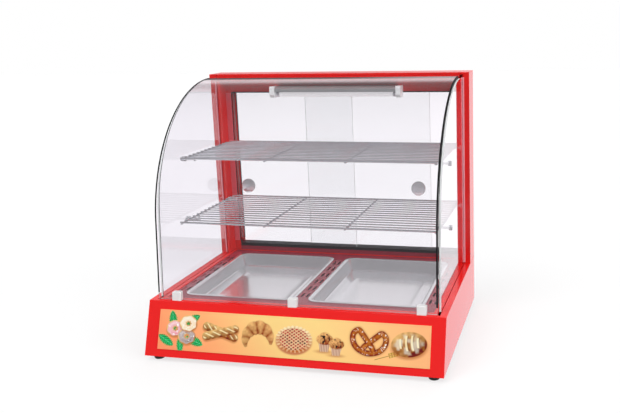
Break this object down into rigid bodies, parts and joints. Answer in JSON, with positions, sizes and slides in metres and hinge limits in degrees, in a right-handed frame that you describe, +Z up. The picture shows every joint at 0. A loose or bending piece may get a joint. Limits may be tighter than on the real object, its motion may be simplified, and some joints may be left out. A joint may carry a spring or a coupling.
{
  "type": "countertop pastry warmer",
  "caption": "Countertop food warmer with a curved front glass, wire shelves on pegs, an overhead lamp, sliding rear glass doors and lift-out trays in a slotted deck over a leaning base.",
  "frame": {"origin": "centre of the overall box, on the surface that the feet stand on", "axes": "+X along the width, to the right as seen from the glass front; +Y to the rear, where the doors and controls are; +Z up"},
  "size_m": [0.66, 0.488, 0.592],
  "materials": {
    "red_paint": "gloss red powder coat",
    "picture_film": "printed film, satin",
    "clear_glass": "clear, polished edges",
    "door_glass": "clear, ground edges",
    "chrome_wire": "bright chrome",
    "stainless": "pressed stainless steel",
    "galvanised": "dull zinc",
    "black_track": "black anodised",
    "black_rubber": "matte",
    "white_plastic": "satin",
    "lamp_glow": "phosphor-coated tube",
    "black_plastic": "fine grain",
    "red_lens": "translucent red",
    "green_lens": "translucent green",
    "heater_sheath": "oxidised",
    "zinc_screw": "zinc plated"
  },
  "bodies": {
    "case": {"base_shell": "red_paint", "bottom_plate": "galvanised", "foot_front_left": "black_rubber", "foot_front_right": "black_rubber", "foot_rear_left": "black_rubber", "foot_rear_right": "black_rubber", "front_picture_panel": "picture_film", "deck_plate": "red_paint", "heat_pan": "galvanised", "left_heater": "heater_sheath", "right_heater": "heater_sheath", "left_post": "red_paint", "right_post": "red_paint", "top_beam": "red_paint", "door_sill": "red_paint", "lower_door_track": "black_track", "upper_door_track": "black_track", "front_glass": "clear_glass", "left_side_glass": "clear_glass", "right_side_glass": "clear_glass", "glass_clip_left": "white_plastic", "glass_clip_centre": "white_plastic", "glass_clip_right": "white_plastic", "upper_front_peg_left": "chrome_wire", "upper_front_peg_right": "chrome_wire", "upper_rear_peg_left": "chrome_wire", "upper_rear_peg_right": "chrome_wire", "lower_front_peg_left": "chrome_wire", "lower_front_peg_right": "chrome_wire", "lower_rear_peg_left": "chrome_wire", "lower_rear_peg_right": "chrome_wire", "lamp_housing": "stainless", "lamp_cap_left": "white_plastic", "lamp_cap_right": "white_plastic", "lamp_tube": "lamp_glow", "rear_control_panel": "red_paint", "panel_screw_left_low": "zinc_screw", "panel_screw_left_high": "zinc_screw", "panel_screw_right_low": "zinc_screw", "panel_screw_right_high": "zinc_screw", "thermostat_body": "black_plastic", "light_switch_housing": "black_plastic", "heater_switch_housing": "black_plastic", "heating_indicator": "red_lens", "cable_gland": "black_plastic", "terminal_block": "white_plastic", "lamp_ballast": "galvanised"},
    "left_sliding_door": {"left_door": "door_glass", "left_door_pull": "stainless"},
    "right_sliding_door": {"right_door": "door_glass", "right_door_pull": "stainless"},
    "knob_and_spindle": {"thermostat_knob": "black_plastic", "thermostat_spindle": "zinc_screw"},
    "light_rocker": {"light_switch_rocker": "green_lens"},
    "heater_rocker": {"heater_switch_rocker": "red_lens"},
    "left_pan": {"left_tray": "stainless"},
    "right_pan": {"right_tray": "stainless"},
    "upper_wire_shelf": {"upper_shelf": "chrome_wire"},
    "lower_wire_shelf": {"lower_shelf": "chrome_wire"}
  },
  "joints": [
    {"name": "left_door_slide", "type": "slide", "parent": "case", "child": "left_sliding_door", "axis": [1, 0, 0], "range_m": [-0.01, 0.274]},
    {"name": "right_door_slide", "type": "slide", "parent": "case", "child": "right_sliding_door", "axis": [1, 0, 0], "range_m": [-0.205, 0.079]},
    {"name": "thermostat_turn", "type": "hinge", "parent": "case", "child": "knob_and_spindle", "pos_m": [0.15, 0.2242, 0.068], "axis": [0, -1, 0], "range_deg": [0, 270]},
    {"name": "light_switch_tip", "type": "hinge", "parent": "case", "child": "light_rocker", "pos_m": [0.04, 0.224, 0.068], "axis": [-1, 0, 0], "range_deg": [0, 16]},
    {"name": "heater_switch_tip", "type": "hinge", "parent": "case", "child": "heater_rocker", "pos_m": [-0.02, 0.224, 0.068], "axis": [-1, 0, 0], "range_deg": [0, 16]},
    {"name": "left_tray_lift", "type": "slide", "parent": "case", "child": "left_pan", "axis": [0, 0, 1], "range_m": [0, 0.12]},
    {"name": "right_tray_lift", "type": "slide", "parent": "case", "child": "right_pan", "axis": [0, 0, 1], "range_m": [0, 0.12]},
    {"name": "upper_shelf_lift", "type": "slide", "parent": "case", "child": "upper_wire_shelf", "axis": [0, 0, 1], "range_m": [0, 0.05]},
    {"name": "lower_shelf_lift", "type": "slide", "parent": "case", "child": "lower_wire_shelf", "axis": [0, 0, 1], "range_m": [0, 0.05]}
  ]
}
